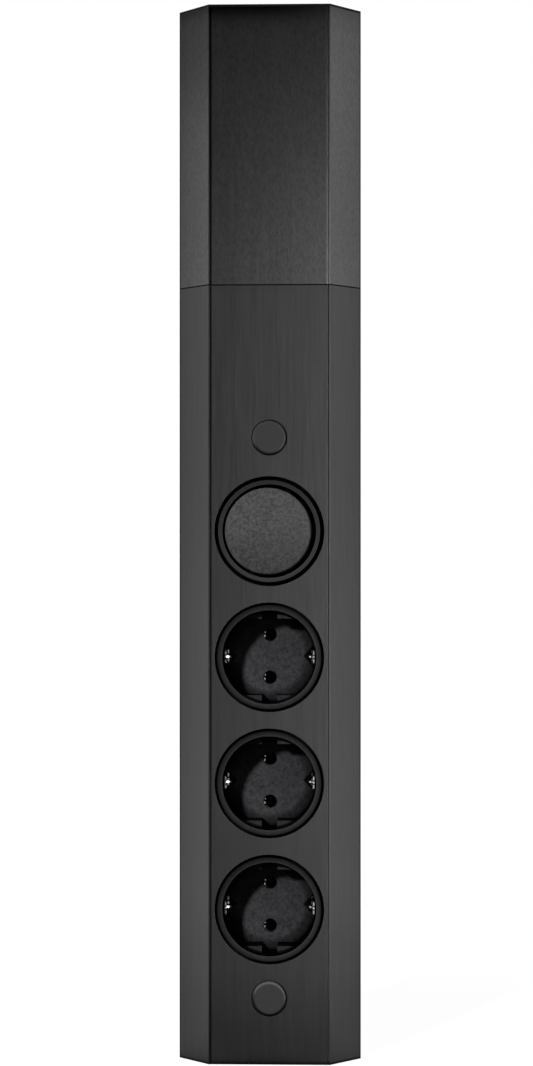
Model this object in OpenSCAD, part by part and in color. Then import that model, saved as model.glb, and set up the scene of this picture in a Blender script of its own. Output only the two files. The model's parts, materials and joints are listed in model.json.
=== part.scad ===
// Corner socket tower: an extruded housing for the corner of a worktop, with
// three earthed sockets, a round rocker switch and a telescopic upper section.
// Millimetres. +Z is up, the front faces -Y, and the two walls meet behind at +Y.
// The origin is the centre of the base.

/* [Housing section] */
// Width of the front beyond the widest module hole, on each side
front_margin = 2.5; // [2:0.1:4]
// Free depth between the deepest module and the flat of the rear rail
rear_room = 7; // [6:0.5:12]
// Free width between a module's rear corners and the wings of the rear rail
corner_room = 2.4; // [2:0.1:4]
// Thickness of the front wall
front_t = 2.6; // [2.2:0.1:3]
// Thickness of the side walls and of the returns along the room walls
wall_t = 2; // [1.6:0.1:2.2]
// Width of the narrow lip at each front corner
lip_w = 0.35; // [0.3:0.05:1]
// How far the lips stand in front of the flat panel
lip_h = 0.5; // [0.2:0.1:0.8]
// Width of the groove between each lip and the panel
groove_w = 0.8; // [0.4:0.1:1]
// Depth of the grooves
groove_d = 1; // [0.6:0.1:1.2]
// Length of the returns along the room walls
return_len = 8; // [7:0.5:9]
// Thickness of the rear rail
rail_t = 2; // [1.6:0.1:2.2]
// Clearance between a cover and the rear rail
slide_gap = 0.3; // [0.2:0.05:0.4]

/* [Heights] */
// Height of the lower fixing's centre
lower_fixing_z = 28.7; // [27.5:0.1:29.5]
// Distance from the lower fixing to the edge of the lowest socket's module
lower_fixing_gap = 11.3; // [10:0.1:14]
// Height of a module beyond the widest module hole
module_space = 7; // [6:0.1:9]
// Distance from the edge of the switch's module to the upper fixing
upper_fixing_gap = 13.3; // [10:0.1:16]
// Height of the plain front above the upper fixing
plain_h = 66.4; // [40:0.1:90]
// Height of the telescopic upper cover
upper_h = 121; // [105:0.5:130]
// Shadow gap between the two covers
joint_gap = 0.5; // [0.3:0.1:1]
// Thickness of the end cap plates
plate_t = 1; // [0.8:0.1:1.6]
// Free height between the top of the rear rail and the top cap
rail_top_gap = 9; // [8:0.5:14]

/* [Modules] */
// Thickness of the carrier plates behind the front wall
carrier_t = 2; // [1.6:0.1:2.4]
// Gap between neighbouring carrier plates
carrier_gap = 0.4; // [0.2:0.1:0.8]

/* [Sockets] */
// Distance between the two pin holes
pin_pitch = 19; // [19:1:19]
// Diameter of a pin hole
pin_hole_d = 5.6; // [5.5:0.1:6.2]
// Distance from a pin hole's centre to the rim of the plug recess
recess_margin = 11; // [10.5:0.1:11.5]
// How much the recess narrows towards its floor, on each side
recess_draft = 0.6; // [0.3:0.1:0.8]
// Depth of a plug recess
recess_depth = 17.5; // [17:0.1:18]
// Width of the bevel between the recess's wall and its floor
recess_bevel = 0.9; // [0.5:0.1:1.5]
// Width of a socket's front ring
socket_ring_w = 2.4; // [2:0.1:3]
// Slope of a socket's front ring towards its recess, in degrees
socket_ring_slope = 20; // [10:1:25]
// How far a socket's front ring stands proud
socket_proud = 0.4; // [0.2:0.1:0.8]
// Gap round a socket's front ring
socket_ring_gap = 1; // [0.3:0.1:1.1]
// Thickness of the wall round a recess
cup_wall = 1.4; // [1.2:0.1:2]
// Thickness of a recess floor
floor_t = 3; // [2.6:0.1:3.2]
// How far the keys reach in from the recess's rim
key_reach = 3.7; // [3:0.1:4.2]
// Width of the notch between two keys
key_notch_w = 6.8; // [6:0.1:7.4]
// How far the keys' front faces lie behind the rim
key_depth = 5.4; // [3:0.1:6]
// How far the tips of the earth clip lie behind the rim
clip_depth = 4.6; // [3.5:0.1:6]

/* [Switch] */
// Diameter of the rocker
rocker_d = 37.8; // [36:0.1:39]
// Gap between the rocker and its collar
rocker_gap = 1.5; // [1:0.1:1.8]
// Width of the collar's front ring
collar_w = 1.9; // [1.6:0.1:3]
// Gap round the collar
collar_gap = 1.7; // [1:0.1:2]
// How far the collar stands proud
collar_proud = 0.7; // [0.4:0.1:1]
// How far the rocker's edge stands proud when it is level
rocker_proud = 1.4; // [1:0.1:1.8]
// Height of the rocker's crown above its edge
rocker_crown = 0.7; // [0.4:0.1:1]
// Depth of the rocker's pivot behind the front face
pivot_depth = 6.5; // [6.2:0.1:7]
// Angle of the rocker from level in each position
rocker_tilt = 4.5; // [3:0.5:5]
// Angle of the seesaw contact from level in each position
seesaw_tilt = 6; // [4:0.5:6]
// Diameter of the rocker's pivot pins
pivot_pin_d = 2.5; // [2:0.1:2.6]
// Radial running clearance of pins in bores
pin_clear = 0.05; // [0.03:0.01:0.08]

/* [Fixings] */
// Diameter of the fixing hole in the rear rail
fixing_hole_d = 5.5; // [4.5:0.1:6]
// Diameter of a screw cap
screw_cap_d = 15; // [14:0.1:16]
// Radial gap round a screw cap
screw_cap_gap = 0.35; // [0.15:0.05:0.4]
// How far a screw cap stands proud
screw_cap_proud = 0.7; // [0.4:0.05:1]
// Thickness of a guide tube
guide_wall = 2.3; // [1.8:0.1:2.6]
// Diameter of the mains cable that the inlet takes
cable_d = 8.4; // [7:0.1:8.8]

/* [Hidden] */
$fn = 96;

// Colours
black_metal = [0.16, 0.16, 0.16];
black_plastic = [0.12, 0.12, 0.13];
black_rubber = [0.08, 0.08, 0.08];
rocker_grey = [0.2, 0.2, 0.2];
white_plastic = [0.85, 0.85, 0.82];
steel = [0.7, 0.7, 0.72];
brass_yellow = [0.8, 0.65, 0.3];
brown = [0.35, 0.2, 0.1];
blue = [0.1, 0.25, 0.7];
green = [0.2, 0.6, 0.2];

// Module sizes, from the inside out
recess_d = pin_pitch + 2 * recess_margin;
recess_floor_d = recess_d - 2 * recess_draft;
socket_ring_d = recess_d + 2 * socket_ring_w;
ring_rim_r = 0.4;
ring_crest_r = socket_ring_d / 2 - ring_rim_r;
ring_drop = (ring_crest_r - recess_d / 2) * tan(socket_ring_slope);
socket_hole_d = socket_ring_d + 2 * socket_ring_gap;
cup_d = recess_d + 2 * cup_wall;
key_flat = recess_d / 2 - key_reach;
collar_bore_d = rocker_d + 2 * rocker_gap;
collar_d = collar_bore_d + 2 * collar_w;
switch_hole_d = collar_d + 2 * collar_gap;
widest_hole_d = max(socket_hole_d, switch_hole_d);
module_pitch = widest_hole_d + module_space;

// Socket contacts
seat_gap = 0.3;
recess_floor = socket_proud - recess_depth;
cup_back = recess_floor - floor_t;
clip_w = 6.4;
clip_t = 0.8;
sleeve_r = 3.3;
sleeve_bore_r = 2.35;
sleeve_len = 11;
foot_t = 0.8;
foot_w = 5;
bar_x = 7.5;
bar_w = 5;
bar_t = 0.8;
sleeve_back = cup_back - clip_t - sleeve_len;
bar_back = sleeve_back - foot_t - bar_t;
base_t = 1.5;
base_back = bar_back - seat_gap - base_t;
base_w = 2 * (bar_x + bar_w / 2 + seat_gap + base_t);
base_h = pin_pitch + 2 * (sleeve_r + seat_gap + base_t);

// Section: its depth and its corners follow from the deepest module
front_w = widest_hole_d + 2 * front_margin;
depth = lip_h - base_back + rear_room + rail_t;
corner_run = base_w / 2 + lip_h - base_back + (rail_t + corner_room) * sqrt(2);
side_run = (corner_run - front_w / 2) / 2;
body_w = front_w + 2 * side_run;
tip_w = 2 * (corner_run - depth);
y_lip = -depth / 2;
y_front = y_lip + lip_h;
y_edge = y_lip + side_run;
y_tip = depth / 2;
wall_len = (body_w - tip_w) / sqrt(2);
bend_steps = 6;
bend_r = 0.35;
edge_r = 0.3;
seal_w = 0.8;
seal_t = 1;
half_turn = 22.5;
y_inner = y_front + front_t;
y_rail = y_tip - rail_t;
rail_step = wall_t + slide_gap;
rail_s = wall_len - return_len - slide_gap;
channel_n = rail_step + rail_t + slide_gap;
channel_lip = 4;
channel_t = 1.5;
carrier_slot = carrier_t + 0.2;
slot_rib_t = 1.4;
slot_rib_overlap = 2.2;
carrier_side_gap = 0.6;
carrier_w = 2 * (side_x(y_inner) - carrier_side_gap);
y_carrier = y_inner + carrier_slot;
port_r = 2.5;
port_gap = 0.4;
port_bore_r = 1.45;
port_slot_w = 1.4;
cap_screw_r = port_bore_r - pin_clear;
cap_screw_head_r = 2.6;
cap_screw_len = 12;
port_n = channel_n + channel_t + port_gap + port_r;
port_in = 2;

// Heights
first_socket_z = lower_fixing_z + lower_fixing_gap + module_pitch / 2;
socket_z = [for (i = [0:2]) first_socket_z + i * module_pitch];
switch_z = first_socket_z + 3 * module_pitch;
upper_fixing_z = switch_z + module_pitch / 2 + upper_fixing_gap;
z_lower_top = upper_fixing_z + plain_h;
lower_h = z_lower_top - plate_t;
z_upper = z_lower_top + joint_gap;
z_upper_top = z_upper + upper_h;
total_h = z_upper_top + plate_t;
z_rail_top = z_upper_top - rail_top_gap;
spigot_h = 6;
spigot_gap = 0.3;
spigot_t = 1.6;

// Fixings
screw_cap_seat = 1.6;
guide_d = screw_cap_d - 0.4;
guide_bore_d = guide_d - 2 * guide_wall;

// Modules
carrier_h = module_pitch - carrier_gap;
cup_r = cup_d / 2;
clip_r = recess_floor_d / 2 - clip_t / 2;
clip_slot_w = clip_w + 0.8;
clip_slot_in = 1.2;
earth_bar_w = 4.4;
earth_bar_x = clip_r - clip_t - earth_bar_w / 2 - 0.2;
bar_tail = 3.5;
sleeve_flare = 0.5;
base_screw_x = key_notch_w / 2 + 2.6;
base_screw_y = key_flat + 2.1;
base_screw_r = 1.2;
base_ear_r = 2.4;
base_ear_t = 2;
base_screw_len = 8;
screw_head_r = 2;
screw_head_h = 1.3;

// Switch
pivot_z = -pivot_depth;
frame_floor = pivot_z - 5.5;
frame_floor_t = 1.6;
contact_window = 12;
frame_back = frame_floor - frame_floor_t;
rocker_wall = 1.6;
rocker_skirt = pivot_z + 2;
ear_out = rocker_d / 2 - 2.5;
ear_in = ear_out - 2.6;
lug_out = ear_in - 0.4;
lug_in = lug_out - 2.8;
barrel_r = 3.1;
barrel_bore_r = 2;
plunger_r = 1.9;
plunger_head = pivot_z + 1.2;
plunger_tip_r = 1.1;
plunger_tip = frame_back - 3.4;
switch_screw_x = 8;
switch_screw_y = collar_d / 2 - 4.1;
seesaw_w = 15;
housing_t = 1.6;
housing_w = seesaw_w + 2 * (housing_t + 3.9);
housing_h = 2 * (switch_screw_y - 2.2);
housing_back = frame_back - 10.5;
contact_gap = 0.1;
seesaw_h = 7;
seesaw_t = 1;
seesaw_z = plunger_tip - seesaw_t / 2 - contact_gap;
seesaw_pin_r = 0.9;
button_r = 1.5;
button_x = seesaw_w / 2 - 1.6;
button_low = 0.9;
button_rest = seesaw_z - (button_x + button_r) * sin(seesaw_tilt) - button_low * cos(seesaw_tilt);
bracket_z = housing_back + housing_t;
bracket_t = 0.8;
tab_len = 5;
tab_w = 4;
tab_x = 6.4;

// Wiring
wire_d = 2.6;
duct_x = cup_r + wire_d / 2 + 2;
duct_y = y_carrier + 9.6;
block_x = 8.5;
block_w = 11;
block_pitch = 6;
block_h = 15.5;
block_foot = 2;
block_hole_r = wire_d / 2 + 0.3;
block_y = y_carrier + slot_rib_t + spigot_gap + spigot_t + seat_gap;
block_l = 3 * block_pitch;
block_top = plate_t + block_foot + block_h;
block_mid = block_x + block_w / 2;
wire_in = 3;
grommet_x = -14.3;
grommet_y = -5;
grommet_r = cable_d / 2;
grommet_wall = 1.4;
grommet_lip = 1;
clamp_z = plate_t + 7;
clamp_h = 5;
clamp_x = 9;
clamp_end = 2.2;
clamp_split = 1;
clamp_t = 4.7;
post_t = 5;
clamp_screw_r = 1;
stud_z = lower_fixing_z + 15.3;
stud_r = 2;
stud_len = 5.5;
lug_t = 0.8;
lug_ring_r = 4;
nut_af = 7;
nut_t = 2.4;

// Section geometry: s runs along a room wall from the tip, n runs inwards from it
function wall_point(s, n) = [tip_w / 2 + (s - n) / sqrt(2), y_tip - (s + n) / sqrt(2)];
function side_x(y) = front_w / 2 - sqrt(2) * wall_t + y - y_lip;
function n_of(y) = (y_tip - y) * sqrt(2) - wall_len + wall_t;
function mirrored(points) =
    concat(points, [for (i = [len(points) - 1:-1:0]) [-points[i].x, points[i].y]]);
function unit(v) = v / norm(v);

// Points that round the corner at b, between a and c, with radius r
function corner(a, b, c, r) =
    let (
        u = unit(a - b),
        v = unit(c - b),
        half = acos(u * v) / 2,
        centre = b + unit(u + v) * r / sin(half),
        start = b + u * r / tan(half) - centre,
        turn = (u.x * v.y - u.y * v.x > 0 ? -1 : 1) * (180 - 2 * half)
    )
    [for (i = [0:bend_steps])
        let (angle = turn * i / bend_steps)
        centre + [start.x * cos(angle) - start.y * sin(angle),
                  start.x * sin(angle) + start.y * cos(angle)]];

front_corner = [front_w / 2, y_lip];
wall_corner = [body_w / 2, y_edge];
return_end = wall_point(wall_len - return_len, 0);
tip_corner = [tip_w / 2, y_tip];
seal_end = wall_point(wall_len - seal_t, 0);
front_bend = corner([0, y_lip], front_corner, wall_corner, bend_r);
wall_bend = corner(front_corner, wall_corner, return_end, edge_r);

// Half of the covers' profile: the panel, the groove, the lip, the side, the seat
// of the edge seal, the return along the wall, the channel that runs on the rail
// and the slot that holds the carrier plates
cover_half = concat(
    [
        [front_w / 2 - lip_w - groove_w, y_front],
        [front_w / 2 - lip_w - groove_w, y_front + groove_d],
        [front_w / 2 - lip_w, y_front + groove_d],
        [front_w / 2 - lip_w, y_lip]
    ],
    front_bend,
    [
        wall_point(wall_len, seal_w),
        wall_point(wall_len - seal_t, seal_w),
        seal_end,
        return_end,
        wall_point(wall_len - return_len, wall_t),
        wall_point(wall_len - wall_t, wall_t),
        wall_point(wall_len - wall_t, channel_n),
        wall_point(wall_len - wall_t - channel_lip, channel_n),
        wall_point(wall_len - wall_t - channel_lip, channel_n + channel_t),
        wall_point(wall_len - wall_t, channel_n + channel_t),
        [side_x(y_carrier + slot_rib_t), y_carrier + slot_rib_t],
        [carrier_w / 2 - slot_rib_overlap, y_carrier + slot_rib_t],
        [carrier_w / 2 - slot_rib_overlap, y_carrier],
        [side_x(y_carrier), y_carrier],
        [side_x(y_inner), y_inner]
    ]
);

// Half of the rail's profile: the tip, the wing on the wall and its stepped edge
rail_half = [
    tip_corner,
    wall_point(rail_s, 0),
    wall_point(rail_s, rail_step),
    wall_point(wall_len - wall_t - slide_gap, rail_step),
    wall_point(wall_len - wall_t - slide_gap, rail_step + rail_t),
    wall_point(rail_s - rail_t, rail_step + rail_t),
    wall_point(rail_s - rail_t, rail_t),
    [tip_w / 2 - rail_t * tan(half_turn), y_rail]
];

port_centre = wall_point(wall_len - wall_t - port_in, port_n);

// Puts children in a module's own frame: x right, y up, z out of the front face
module on_front(z) {
    translate([0, y_front, z]) rotate([90, 0, 0]) children();
}

module both_sides() {
    for (side = [0, 1]) mirror([side, 0, 0]) children();
}

// A flat strip bent along points in the x-z plane, its width along y
module bent_strip(points, thick, width) {
    last = len(points) - 1;
    function dir(i) = unit(points[min(i + 1, last)] - points[max(i, 0)]);
    function side(i) =
        let (a = dir(max(i - 1, 0)), b = dir(min(i, last - 1)), m = unit(a + b))
        [-m.y, m.x] / (m * a);
    outline = concat(
        [for (i = [0:last]) points[i] + side(i) * thick / 2],
        [for (i = [last:-1:0]) points[i] - side(i) * thick / 2]
    );
    translate([0, width / 2, 0]) rotate([90, 0, 0]) linear_extrude(width) polygon(outline);
}

// A smooth route through hand-set points
function route_point(p, i, t) =
    let (
        last = len(p) - 1,
        a = p[max(i - 1, 0)], b = p[i], c = p[min(i + 1, last)], d = p[min(i + 2, last)]
    )
    0.5 * (2 * b + (c - a) * t + (2 * a - 5 * b + 4 * c - d) * t * t
        + (3 * b - 3 * c + d - a) * t * t * t);
function route(p, steps) = concat(
    [for (i = [0:len(p) - 2]) for (k = [0:steps - 1]) route_point(p, i, k / steps)],
    [p[len(p) - 1]]
);

// A round tube of one diameter along a route, as one closed mesh
module swept_tube(path, d, sides) {
    last = len(path) - 1;
    tangents = [for (i = [0:last]) unit(path[min(i + 1, last)] - path[max(i - 1, 0)])];
    first = abs(tangents[0].x) < 0.9 ? [1, 0, 0] : [0, 1, 0];
    function square_to(v, t) = unit(v - (v * t) * t);
    normals = [
        for (i = 0, u = square_to(first, tangents[0]); i <= last;
            i = i + 1, u = square_to(u, tangents[min(i, last)])) u
    ];
    points = [
        for (i = [0:last]) for (k = [0:sides - 1])
            let (n = normals[i], b = cross(tangents[i], n), a = 360 * k / sides)
            path[i] + (n * cos(a) + b * sin(a)) * d / 2
    ];
    rings = [
        for (i = [0:last - 1]) for (k = [0:sides - 1])
            let (m = (k + 1) % sides, p = i * sides)
            each [[p + k, p + sides + k, p + m], [p + m, p + sides + k, p + sides + m]]
    ];
    ends = [
        [for (k = [0:sides - 1]) k],
        [for (k = [sides - 1:-1:0]) last * sides + k]
    ];
    polyhedron(points, concat(rings, ends));
}

// Housing

module cover_profile() {
    difference() {
        union() {
            polygon(mirrored(cover_half));
            for (side = [-1, 1]) translate([side * port_centre.x, port_centre.y]) circle(port_r);
        }
        for (side = [-1, 1]) translate([side * port_centre.x, port_centre.y]) {
            circle(port_bore_r);
            rotate(90 + side * 45) translate([0, -port_slot_w / 2])
                square([port_r + 1, port_slot_w]);
        }
    }
}

module front_hole(z, d) {
    on_front(z) translate([0, 0, -front_t - 1]) cylinder(d = d, h = front_t + 2);
}

module lower_cover() {
    color(black_metal) difference() {
        translate([0, 0, plate_t]) linear_extrude(lower_h) cover_profile();
        for (z = socket_z) front_hole(z, socket_hole_d);
        front_hole(switch_z, switch_hole_d);
        for (z = [lower_fixing_z, upper_fixing_z])
            front_hole(z, screw_cap_d + 2 * screw_cap_gap);
    }
}

module upper_cover() {
    color(black_metal) translate([0, 0, z_upper]) linear_extrude(upper_h) cover_profile();
}

// A pair of rubber strips along the edges that meet the walls
module edge_seals(z, height) {
    color(black_rubber) for (side = [0, 1]) mirror([side, 0, 0])
        translate([0, 0, z]) linear_extrude(height) polygon(concat(
            wall_bend,
            [seal_end, wall_point(wall_len - seal_t, seal_w), wall_point(wall_len, seal_w)]
        ));
}

module rear_rail() {
    color(steel) difference() {
        union() {
            translate([0, 0, plate_t]) linear_extrude(z_rail_top - plate_t)
                polygon(mirrored(rail_half));
            translate([0, y_rail - stud_len, stud_z]) rotate([-90, 0, 0])
                cylinder(r = stud_r, h = stud_len + 1);
        }
        for (z = [lower_fixing_z, upper_fixing_z])
            translate([0, y_rail - 1, z]) rotate([-90, 0, 0])
                cylinder(d = fixing_hole_d, h = rail_t + 2);
    }
}

// The full outline of the tower, and the inner ring of an end cap that locates it
module cap_outline() {
    polygon(mirrored(concat(front_bend, wall_bend, [tip_corner])));
}

module spigot_outline(inset) {
    y_spigot = y_carrier + slot_rib_t + spigot_gap;
    x_spigot = carrier_w / 2 - slot_rib_overlap - inset;
    x_rear = tip_w / 2 - rail_t * tan(half_turn) - spigot_gap - inset;
    y_rear = y_rail - spigot_gap - inset;
    shoulder_y = y_rear - (x_spigot - x_rear) - spigot_gap;
    polygon(mirrored([
        [x_spigot, y_spigot + inset], [x_spigot, shoulder_y], [x_rear, y_rear]
    ]));
}

module spigot(height) {
    linear_extrude(height) difference() {
        spigot_outline(0);
        spigot_outline(spigot_t);
    }
}

module port_places() {
    for (side = [-1, 1]) translate([side * port_centre.x, port_centre.y, 0]) children();
}

module port_screw_holes() {
    port_places() {
        translate([0, 0, -1]) cylinder(r = cap_screw_r + 0.2, h = plate_t + 2);
        cylinder(r1 = cap_screw_head_r + 0.1, r2 = cap_screw_r + 0.2, h = plate_t);
    }
}

// A countersunk screw whose head lies flush in an end cap's plate
module port_screw() {
    difference() {
        union() {
            cylinder(r1 = cap_screw_head_r, r2 = cap_screw_r, h = plate_t);
            cylinder(r = cap_screw_r, h = plate_t + cap_screw_len);
        }
        for (turn = [0, 90]) rotate(turn) translate([-1.5, -0.3, -1]) cube([3, 0.6, 1.7]);
    }
}

module bottom_cap() {
    color(black_plastic) difference() {
        union() {
            linear_extrude(plate_t) cap_outline();
            translate([0, 0, plate_t]) spigot(spigot_h);
            translate([block_x + 0.5, block_y + 0.5, plate_t])
                cube([block_w - 1, block_l - 1, block_foot]);
            translate([grommet_x, grommet_y, plate_t]) cylinder(
                r = grommet_r + grommet_wall + 1.8, h = 1);
            for (side = [-1, 1])
                translate([grommet_x + side * clamp_x - clamp_end, grommet_y - clamp_split, plate_t])
                    cube([2 * clamp_end, post_t, clamp_z + clamp_h - plate_t]);
        }
        port_screw_holes();
        translate([grommet_x, grommet_y, -1]) cylinder(r = grommet_r + grommet_wall, h = plate_t + 3);
        clamp_screw_holes(clamp_screw_r + 0.02);
    }
}

module bottom_cap_screws() {
    color(steel) port_places() port_screw();
}

module top_cap() {
    color(black_plastic) translate([0, 0, total_h]) mirror([0, 0, 1]) difference() {
        union() {
            linear_extrude(plate_t) cap_outline();
            translate([0, 0, plate_t]) spigot(spigot_h);
        }
        port_screw_holes();
    }
}

module top_cap_screws() {
    color(steel) translate([0, 0, total_h]) mirror([0, 0, 1]) port_places() port_screw();
}

// A blank carrier plate from z0 to z1 with the tube that guides a fixing screw
module guide_carrier(z0, z1, fixing_z) {
    y_mouth = y_front + screw_cap_seat;
    color(black_plastic) difference() {
        union() {
            translate([-carrier_w / 2, y_inner, z0]) cube([carrier_w, carrier_t, z1 - z0]);
            translate([0, y_mouth, fixing_z]) rotate([-90, 0, 0])
                cylinder(d = guide_d, h = y_rail - y_mouth);
        }
        translate([0, y_mouth - 1, fixing_z]) rotate([-90, 0, 0])
            cylinder(d = guide_bore_d, h = y_rail - y_mouth + 2);
    }
}

module lower_guide_carrier() {
    guide_carrier(plate_t + seat_gap, socket_z[0] - carrier_h / 2 - carrier_gap, lower_fixing_z);
}

module upper_guide_carrier() {
    guide_carrier(switch_z + carrier_h / 2 + carrier_gap, z_lower_top - seat_gap, upper_fixing_z);
}

// A push-in cap: a disc with a rounded rim and a hollow stem in the guide tube
module screw_cap(z) {
    cap_r = screw_cap_d / 2;
    rim_r = 0.6;
    stem_r = guide_bore_d / 2 - 2 * pin_clear;
    stem_len = 5;
    stem_wall = 1.2;
    color(black_metal) on_front(z) rotate_extrude() polygon(concat(
        [[0, screw_cap_proud]],
        [for (i = [0:4]) [cap_r - rim_r + rim_r * sin(i * 22.5),
            screw_cap_proud - rim_r + rim_r * cos(i * 22.5)]],
        [
            [cap_r, -screw_cap_seat], [stem_r, -screw_cap_seat],
            [stem_r, -screw_cap_seat - stem_len],
            [stem_r - stem_wall, -screw_cap_seat - stem_len],
            [stem_r - stem_wall, -screw_cap_seat], [0, -screw_cap_seat]
        ]
    ));
}

// Socket modules, each drawn in the module's own frame

module carrier_plate() {
    translate([-carrier_w / 2, -carrier_h / 2, -front_t - carrier_t])
        cube([carrier_w, carrier_h, carrier_t]);
}

// The recess, with the front ring's slope leading into it
module recess_space() {
    mouth_r = recess_d / 2;
    rotate_extrude() polygon([
        [0, recess_floor], [recess_floor_d / 2 - recess_bevel, recess_floor],
        [recess_floor_d / 2, recess_floor + recess_bevel],
        [mouth_r, socket_proud - ring_drop], [ring_crest_r, socket_proud],
        [ring_crest_r, socket_proud + 1], [0, socket_proud + 1]
    ]);
}

module ring_and_cup() {
    ring_r = socket_ring_d / 2;
    rotate_extrude() polygon(concat(
        [[0, cup_back], [0, socket_proud]],
        [for (i = [0:4]) [ring_crest_r + ring_rim_r * sin(i * 22.5),
            socket_proud - ring_rim_r + ring_rim_r * cos(i * 22.5)]],
        [[ring_r, -front_t - carrier_t], [cup_r, -front_t - carrier_t], [cup_r, cup_back]]
    ));
}

// The four keys that stand in the recess above and below the pins
module keys() {
    key_h = recess_depth - key_depth;
    intersection() {
        translate([0, 0, recess_floor]) cylinder(r = cup_r - 0.6, h = key_h);
        for (up = [0, 1]) mirror([0, up, 0]) both_sides()
            translate([key_notch_w / 2, key_flat, recess_floor - 1]) cube([cup_r, cup_r, key_h + 2]);
    }
}

module pin_hole(y) {
    chamfer = 0.3;
    r = pin_hole_d / 2;
    translate([0, y, cup_back - 1]) cylinder(r = r, h = floor_t + 2);
    translate([0, y, recess_floor - chamfer]) cylinder(r1 = r, r2 = r + 2 * chamfer, h = 2 * chamfer);
}

// Slots through the cup's wall and floor for the earth clip's two arms
module clip_slots() {
    slot_top = socket_proud - clip_depth + 0.6;
    both_sides() {
        translate([clip_r - clip_slot_in, -clip_slot_w / 2, cup_back - 1])
            cube([clip_slot_in + clip_t + 0.6, clip_slot_w, floor_t + 2]);
        translate([clip_r - 1, -clip_slot_w / 2, recess_floor - 1])
            cube([clip_t + 1.6, clip_slot_w, slot_top - recess_floor + 1]);
    }
}

module base_screw_places() {
    for (turn = [0, 180]) rotate(turn) translate([base_screw_x, base_screw_y, 0]) children();
}

module socket_insert(z) {
    color(black_plastic) on_front(z) difference() {
        union() {
            difference() {
                union() {
                    carrier_plate();
                    ring_and_cup();
                }
                recess_space();
            }
            keys();
        }
        for (y = [-pin_pitch / 2, pin_pitch / 2]) pin_hole(y);
        clip_slots();
        base_screw_places() translate([0, 0, cup_back - 1])
            cylinder(r = base_screw_r + pin_clear, h = base_screw_len + 1);
    }
}

// The rear moulding that holds the contact sleeves, open at the ends for the bars
module socket_base(z) {
    inner_w = base_w - 2 * base_t;
    inner_h = base_h - 2 * base_t;
    base_d = cup_back - base_back;
    bridge_slot = clip_t + seat_gap;
    color(white_plastic) on_front(z) difference() {
        union() {
            translate([-base_w / 2, -base_h / 2, base_back]) cube([base_w, base_h, base_d]);
            base_screw_places() translate([0, 0, cup_back - base_ear_t])
                cylinder(r = base_ear_r, h = base_ear_t);
            base_screw_places()
                translate([-base_ear_r, base_h / 2 - base_t - base_screw_y, cup_back - base_ear_t])
                cube([2 * base_ear_r, base_screw_y - base_h / 2 + base_t, base_ear_t]);
        }
        difference() {
            translate([-inner_w / 2, -inner_h / 2, base_back + base_t])
                cube([inner_w, inner_h, base_d]);
            for (side = [-1, 1])
                translate([-inner_w / 2, side * (clip_w / 2 + 1) - base_t / 2, sleeve_back - foot_t])
                    cube([inner_w, base_t, cup_back - bridge_slot - sleeve_back + foot_t]);
        }
        translate([-base_w, -clip_slot_w / 2, cup_back - bridge_slot])
            cube([2 * base_w, clip_slot_w, bridge_slot + 1]);
        for (side = [-1, 1])
            translate([side * bar_x - bar_w / 2 - seat_gap, -base_h, bar_back - seat_gap])
                cube([bar_w + 2 * seat_gap, 2 * base_h, bar_t + foot_t + 2 * seat_gap]);
        base_screw_places() translate([0, 0, cup_back - base_ear_t - 1])
            cylinder(r = base_screw_r + pin_clear, h = base_ear_t + 2);
    }
}

module earth_clip(z) {
    tip_z = socket_proud - clip_depth;
    nose_z = recess_floor + 0.5 * (tip_z - recess_floor);
    bridge_z = cup_back - clip_t / 2;
    rib_w = 1;
    rib_r = 2.2;
    color(steel) on_front(z) {
        bent_strip([
            [-clip_r + 0.1, tip_z], [-clip_r + 0.5, nose_z + 2], [-clip_r + 0.5, nose_z],
            [-clip_r + 0.1, recess_floor], [-clip_r, cup_back + 1], [-clip_r, bridge_z],
            [clip_r, bridge_z], [clip_r, cup_back + 1], [clip_r - 0.1, recess_floor],
            [clip_r - 0.5, nose_z], [clip_r - 0.5, nose_z + 2], [clip_r - 0.1, tip_z]
        ], clip_t, clip_w);
        both_sides() translate([clip_r - 0.5, rib_w / 2, nose_z + 1]) rotate([90, 0, 0])
            intersection() {
                cylinder(r = rib_r, h = rib_w);
                translate([-rib_r, -rib_r, 0]) cube([rib_r, 2 * rib_r, rib_w]);
            }
    }
}

// A slit tube that grips a plug pin, with a foot that lies on its busbar
module pin_sleeve(z, side) {
    slit = 0.7;
    color(brass_yellow) on_front(z) translate([0, side * pin_pitch / 2, 0]) {
        difference() {
            union() {
                translate([0, 0, sleeve_back]) cylinder(r = sleeve_r, h = sleeve_len);
                translate([-sleeve_r, -foot_w / 2, sleeve_back - foot_t])
                    translate([side > 0 ? sleeve_r - bar_x - bar_w / 2 : 0, 0, 0])
                    cube([bar_x + bar_w / 2 + sleeve_r, foot_w, foot_t]);
            }
            translate([0, 0, sleeve_back - foot_t - 1])
                cylinder(r = sleeve_bore_r, h = sleeve_len + foot_t + 2);
            translate([0, 0, sleeve_back + sleeve_len - 1.5]) cylinder(
                r1 = sleeve_bore_r, r2 = sleeve_bore_r + 4 / 3 * sleeve_flare, h = 2);
            for (turn = [0, 90]) rotate(turn)
                translate([-sleeve_r - 1, -slit / 2, sleeve_back + 2.5])
                    cube([2 * sleeve_r + 2, slit, sleeve_len]);
        }
    }
}

// All screws of the socket bases: two for each socket
module socket_base_screws() {
    color(steel) for (z = socket_z) on_front(z) base_screw_places() {
        translate([0, 0, cup_back - base_ear_t - screw_head_h])
            cylinder(r = screw_head_r, h = screw_head_h);
        translate([0, 0, cup_back - base_ear_t - 0.5]) cylinder(
            r = base_screw_r, h = base_ear_t + base_screw_len - seat_gap);
    }
}

bar_low = socket_z[0] - base_h / 2 - bar_tail;
bar_high = socket_z[2] + base_h / 2 + bar_tail;

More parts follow.
